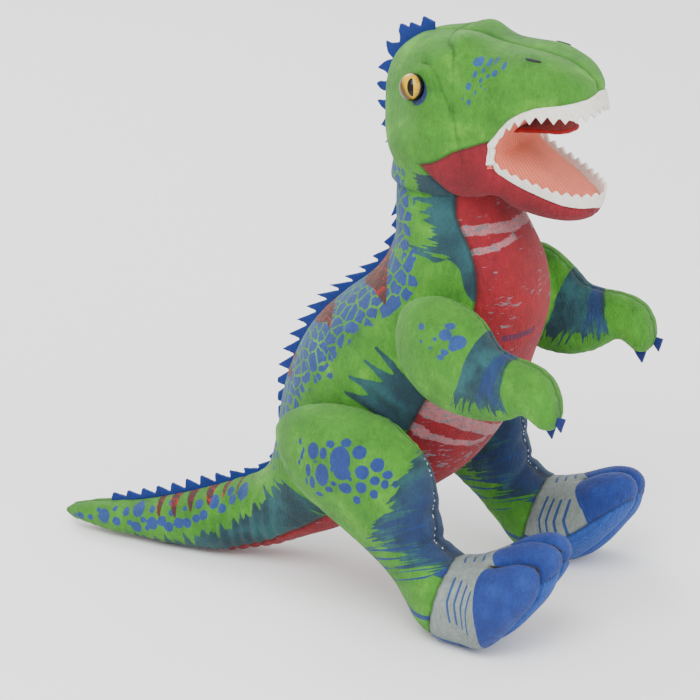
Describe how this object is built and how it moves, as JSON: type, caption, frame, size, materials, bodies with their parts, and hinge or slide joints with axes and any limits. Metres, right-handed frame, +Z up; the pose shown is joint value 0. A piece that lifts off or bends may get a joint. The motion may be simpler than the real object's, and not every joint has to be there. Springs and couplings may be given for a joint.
{
  "type": "stuffed dinosaur",
  "caption": "Plush two-legged dinosaur that stands on its feet and tail, with an open toothed mouth, felt back spikes, clawed hands and plastic eyes.",
  "frame": {"origin": "on the surface the toy stands on, in the middle of its length and width", "axes": "+X forward (the nose), +Y the toy's left, +Z up"},
  "size_m": [0.3665, 0.1982, 0.3484],
  "materials": {
    "plush_body": "short pile printed plush, green with blue scales",
    "plush_belly": "short pile printed plush, red with grey brush marks",
    "plush_foot": "short pile printed plush, grey with blue toes",
    "mouth_lining": "smooth ribbed knit",
    "tongue_felt": "felt",
    "felt_spike": "felt",
    "felt_tooth": "felt",
    "claw_felt": "felt",
    "thread": "sewing thread",
    "eye": "gold under a clear dome, black pupil",
    "washer": "moulded",
    "filling": "polyester fibre filling"
  },
  "bodies": {
    "torso": {"side_panel_right": "plush_body", "side_panel_left": "plush_body", "belly_panel": "plush_belly", "torso_filling": "filling", "back_spikes": "felt_spike"},
    "tail": {"tail_panel_right": "plush_body", "tail_panel_left": "plush_body", "tail_underside": "plush_belly", "tail_filling": "filling", "tail_spikes": "felt_spike"},
    "head": {"cheek_panel_right": "plush_body", "cheek_panel_left": "plush_body", "snout_panel_right": "plush_body", "snout_panel_left": "plush_body", "throat_panel": "plush_belly", "head_filling": "filling", "palate_lining": "mouth_lining", "upper_teeth": "felt_tooth", "tongue": "tongue_felt", "head_spikes": "felt_spike", "eye_right": "eye", "eye_left": "eye", "eye_washer_right": "washer", "eye_washer_left": "washer", "nostril_right": "thread", "nostril_left": "thread"},
    "jaw": {"jaw_panel": "plush_belly", "jaw_filling": "filling", "jaw_lining": "mouth_lining", "lower_teeth": "felt_tooth"},
    "arm_right": {"arm_outer_right": "plush_body", "arm_inner_right": "plush_body", "arm_filling_right": "filling", "hand_claws_right": "claw_felt"},
    "arm_left": {"arm_outer_left": "plush_body", "arm_inner_left": "plush_body", "arm_filling_left": "filling", "hand_claws_left": "claw_felt"},
    "leg_right": {"leg_outer_right": "plush_body", "leg_inner_right": "plush_body", "leg_filling_right": "filling", "foot_upper_right": "plush_foot", "foot_sole_right": "plush_foot", "foot_filling_right": "filling", "toe_threads_right": "thread"},
    "leg_left": {"leg_outer_left": "plush_body", "leg_inner_left": "plush_body", "leg_filling_left": "filling", "foot_upper_left": "plush_foot", "foot_sole_left": "plush_foot", "foot_filling_left": "filling", "toe_threads_left": "thread"}
  },
  "joints": [
    {"name": "neck_nod", "type": "hinge", "parent": "torso", "child": "head", "pos_m": [0.0788, 0, 0.262], "axis": [0, 1, 0], "range_deg": [-10, 10], "stiffness_Nm_per_rad": 4},
    {"name": "jaw_open", "type": "hinge", "parent": "head", "child": "jaw", "pos_m": [0.1118, 0, 0.288], "axis": [0, 1, 0], "range_deg": [-12, 4], "stiffness_Nm_per_rad": 0.6},
    {"name": "shoulder_right", "type": "hinge", "parent": "torso", "child": "arm_right", "pos_m": [0.0988, -0.05, 0.172], "axis": [0, 1, 0], "range_deg": [-20, 20], "stiffness_Nm_per_rad": 0.8},
    {"name": "shoulder_left", "type": "hinge", "parent": "torso", "child": "arm_left", "pos_m": [0.0988, 0.05, 0.172], "axis": [0, 1, 0], "range_deg": [-20, 20], "stiffness_Nm_per_rad": 0.8},
    {"name": "hip_right", "type": "hinge", "parent": "torso", "child": "leg_right", "pos_m": [0.0408, -0.055, 0.092], "axis": [0, 1, 0], "range_deg": [-12, 12], "stiffness_Nm_per_rad": 6},
    {"name": "hip_left", "type": "hinge", "parent": "torso", "child": "leg_left", "pos_m": [0.0408, 0.055, 0.092], "axis": [0, 1, 0], "range_deg": [-12, 12], "stiffness_Nm_per_rad": 6},
    {"name": "tail_swing", "type": "hinge", "parent": "torso", "child": "tail", "pos_m": [-0.0632, -0.008, 0.026], "axis": [0, 0, 1], "range_deg": [-12, 12], "stiffness_Nm_per_rad": 2}
  ]
}
